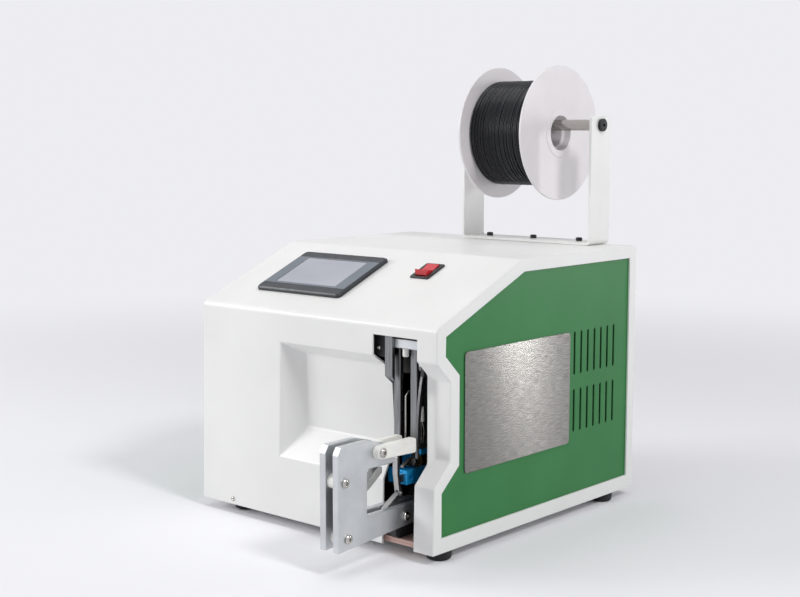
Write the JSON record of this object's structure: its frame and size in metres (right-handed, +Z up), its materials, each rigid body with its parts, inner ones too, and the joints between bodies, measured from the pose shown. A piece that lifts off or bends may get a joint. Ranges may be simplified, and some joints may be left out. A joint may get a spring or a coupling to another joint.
{
  "type": "twist tie machine",
  "caption": "Desktop machine that feeds, cuts and twists tie wire from a spool on top round a bundle held in the guide plates at its front.",
  "frame": {"origin": "on the table, under the middle of the machine's bounding box", "axes": "+X to the operator's right, +Y away from the operator, +Z up; the guide plates point to -Y"},
  "size_m": [0.35, 0.5224, 0.5118],
  "materials": {
    "white_paint": "satin",
    "green_paint": "satin",
    "brushed_steel": "brushed",
    "bright_steel": "ground",
    "dark_steel": "satin",
    "black_steel": "satin",
    "satin_aluminium": "satin",
    "blue_anodised": "anodised",
    "bronze": "turned",
    "nylon": "satin",
    "bakelite": "matt",
    "rubber": "matt",
    "black_plastic": "satin",
    "screen_plastic": "matt",
    "screen_glass": "glossy",
    "red_plastic": "glossy",
    "spool_plastic": "satin",
    "wire_plastic": "glossy",
    "belt_rubber": "matt"
  },
  "bodies": {
    "machine": {"housing_shell": "white_paint", "right_side_panel": "green_paint", "left_side_panel": "green_paint", "name_plate": "brushed_steel", "base_pan": "white_paint", "rear_panel": "white_paint", "mains_inlet": "black_plastic", "foot_front_left": "rubber", "foot_front_right": "rubber", "foot_rear_left": "rubber", "foot_rear_right": "rubber", "screen_housing": "screen_plastic", "screen_glass": "screen_glass", "power_switch": "black_plastic", "spool_bracket": "white_paint", "spool_shaft": "bright_steel", "shaft_screw_left": "black_steel", "shaft_screw_right": "black_steel", "near_guide_plate": "satin_aluminium", "far_guide_plate": "satin_aluminium", "guide_spacer_upper": "nylon", "guide_spacer_lower": "nylon", "guide_screw_upper": "bright_steel", "guide_screw_lower": "bright_steel", "guide_screw_arm": "bright_steel", "gate_pivot_screw": "bright_steel", "front_wire_guide": "bright_steel", "rear_wire_guide": "bright_steel", "twist_head_block": "blue_anodised", "spindle_bearing": "bronze", "twist_belt": "belt_rubber", "twist_motor": "dark_steel", "mounting_board": "bakelite", "chassis_plate": "dark_steel", "arm_foot_block": "dark_steel", "rail_base": "dark_steel", "rail_head": "dark_steel", "left_rail": "bright_steel", "right_rail": "bright_steel", "hook_bar": "satin_aluminium", "hook_bar_bracket": "dark_steel", "cutter_bracket": "dark_steel", "feed_motor": "dark_steel", "wire_feed_tube": "bright_steel", "wire_sensor": "nylon", "control_box": "satin_aluminium"},
    "spool": {"spool": "spool_plastic", "wire_pack": "wire_plastic", "wire_turns": "wire_plastic"},
    "rocker": {"power_rocker": "red_plastic"},
    "outer_gate": {"outer_gate_lever": "nylon"},
    "inner_gate": {"inner_gate_lever": "nylon"},
    "finger": {"swing_wire_guide": "bright_steel"},
    "carriage": {"slide_carriage": "satin_aluminium", "slide_bumper": "nylon"},
    "cutter": {"cutter_lever": "bright_steel"},
    "spindle": {"twist_spindle": "bright_steel"},
    "motor_drive": {"motor_pulley": "satin_aluminium"},
    "drive_roller": {"feed_drive_roller": "bright_steel"},
    "pinch_roller": {"feed_pinch_roller": "bright_steel"}
  },
  "joints": [
    {"name": "spool_spin", "type": "hinge", "parent": "machine", "child": "spool", "pos_m": [0.0328, 0.18125, 0.4318], "axis": [1, 0, 0], "continuous": true},
    {"name": "power_rocker_tilt", "type": "hinge", "parent": "machine", "child": "rocker", "pos_m": [0.0775, -0.06288, 0.28347], "axis": [1, 0, 0], "range_deg": [0, 24]},
    {"name": "outer_gate_lift", "type": "hinge", "parent": "machine", "child": "outer_gate", "pos_m": [0.1373, -0.20615, 0.1188], "axis": [1, 0, 0], "range_deg": [0, 60]},
    {"name": "inner_gate_lift", "type": "hinge", "parent": "machine", "child": "inner_gate", "pos_m": [0.12025, -0.20615, 0.1188], "axis": [1, 0, 0], "range_deg": [0, 60]},
    {"name": "finger_swing", "type": "hinge", "parent": "machine", "child": "finger", "pos_m": [0.12025, -0.15795, 0.0645], "axis": [1, 0, 0], "range_deg": [0, 20], "stiffness_Nm_per_rad": 0.03, "springref_deg": -8.59},
    {"name": "carriage_slide", "type": "slide", "parent": "machine", "child": "carriage", "axis": [0, 0, 1], "range_m": [-0.035, 0]},
    {"name": "cutter_swing", "type": "hinge", "parent": "machine", "child": "cutter", "pos_m": [0.1395, -0.14175, 0.1965], "axis": [1, 0, 0], "range_deg": [0, 8], "stiffness_Nm_per_rad": 0.05, "springref_deg": -8.59},
    {"name": "spindle_spin", "type": "hinge", "parent": "machine", "child": "spindle", "pos_m": [0.12025, -0.13875, 0.0945], "axis": [0, 1, 0], "continuous": true},
    {"name": "motor_pulley_spin", "type": "hinge", "parent": "machine", "child": "motor_drive", "pos_m": [0.12025, -0.08975, 0.0555], "axis": [0, 1, 0], "continuous": true},
    {"name": "drive_roller_spin", "type": "hinge", "parent": "machine", "child": "drive_roller", "pos_m": [0.10975, -0.13075, 0.1955], "axis": [0, 1, 0], "continuous": true},
    {"name": "pinch_roller_spin", "type": "hinge", "parent": "machine", "child": "pinch_roller", "pos_m": [0.13075, -0.13075, 0.1955], "axis": [0, 1, 0], "continuous": true}
  ],
  "couplings": [
    {"joint": "inner_gate_lift", "follows": "outer_gate_lift", "ratio": 1},
    {"joint": "motor_pulley_spin", "follows": "spindle_spin", "ratio": 1},
    {"joint": "pinch_roller_spin", "follows": "drive_roller_spin", "ratio": -1}
  ]
}
